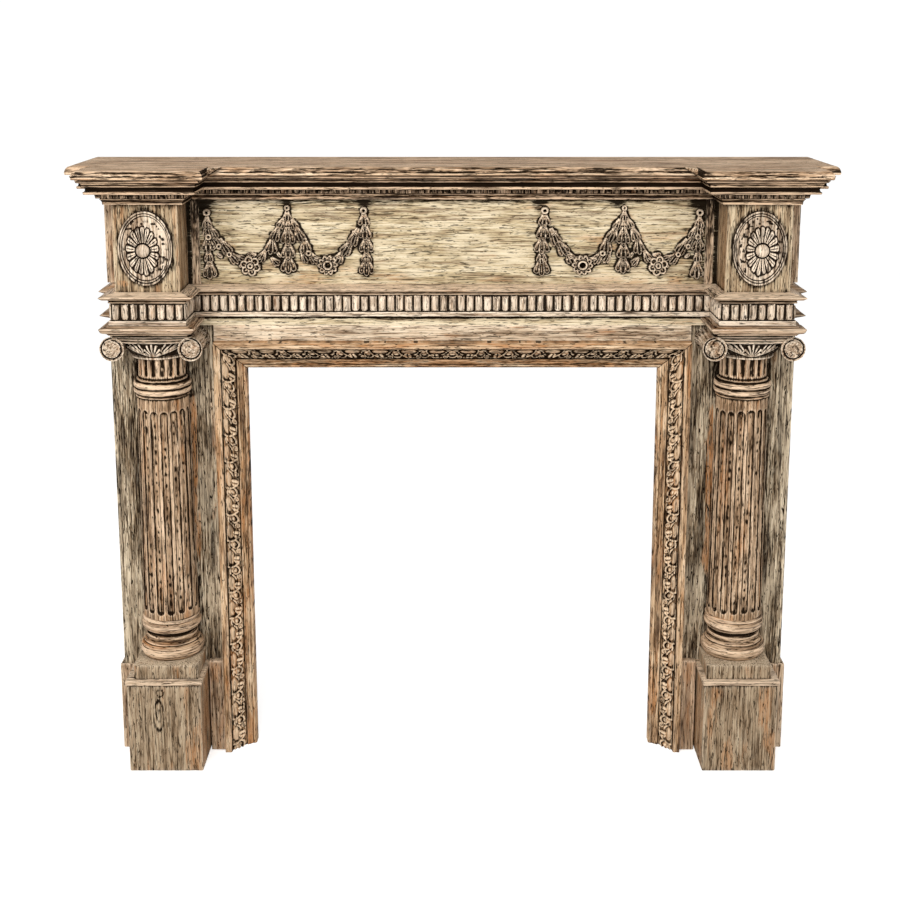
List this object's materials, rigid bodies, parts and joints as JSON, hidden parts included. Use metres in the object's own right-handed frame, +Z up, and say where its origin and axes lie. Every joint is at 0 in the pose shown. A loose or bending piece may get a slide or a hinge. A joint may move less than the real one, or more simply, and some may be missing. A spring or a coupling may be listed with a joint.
{
  "type": "fireplace mantelpiece",
  "caption": "Carved wooden fireplace mantelpiece with breakfront ends, engaged Ionic columns, a garlanded frieze and a leaf-carved opening frame.",
  "frame": {"origin": "on the floor, at mid width, halfway between the wall face and the foremost edge of the shelf", "axes": "+Z up, the carved front faces -Y and the wall face looks to +Y, +X runs to the viewer's right along the shelf"},
  "size_m": [1.851, 0.4244, 1.5255],
  "materials": {
    "brown_wood": "dark glazed and worn",
    "cream_wood": "limed, cream, worn",
    "grey_wood": "limed, grey, worn",
    "tan_wood": "tan, glazed and rubbed",
    "carving_wood": "carved, limed with dark glaze in the hollows"
  },
  "bodies": {
    "root": {"shelf": "brown_wood", "cornice": "tan_wood", "frieze_board": "cream_wood", "frieze_base_moulding": "tan_wood", "fluted_band": "carving_wood", "lintel_board": "tan_wood", "frame_head": "tan_wood", "frieze_block_left": "cream_wood", "frieze_block_right": "cream_wood", "stile_left": "cream_wood", "stile_right": "cream_wood", "frieze_return_left": "brown_wood", "frieze_return_right": "brown_wood", "block_moulding_left": "tan_wood", "block_moulding_right": "tan_wood", "band_return_left": "brown_wood", "band_return_right": "brown_wood", "frame_jamb_left": "tan_wood", "frame_jamb_right": "tan_wood", "pilaster_board_left": "grey_wood", "pilaster_board_right": "grey_wood", "plinth_left": "brown_wood", "plinth_right": "brown_wood", "die_left": "tan_wood", "die_right": "tan_wood", "skirt_inner_left": "brown_wood", "skirt_inner_right": "brown_wood", "skirt_outer_left": "brown_wood", "skirt_outer_right": "brown_wood", "column_left": "tan_wood", "column_right": "tan_wood", "column_base_left": "tan_wood", "column_base_right": "tan_wood", "capital_left": "carving_wood", "capital_right": "carving_wood", "medallion_left": "carving_wood", "medallion_right": "carving_wood", "garland_left": "carving_wood", "garland_right": "carving_wood"}
  },
  "joints": []
}
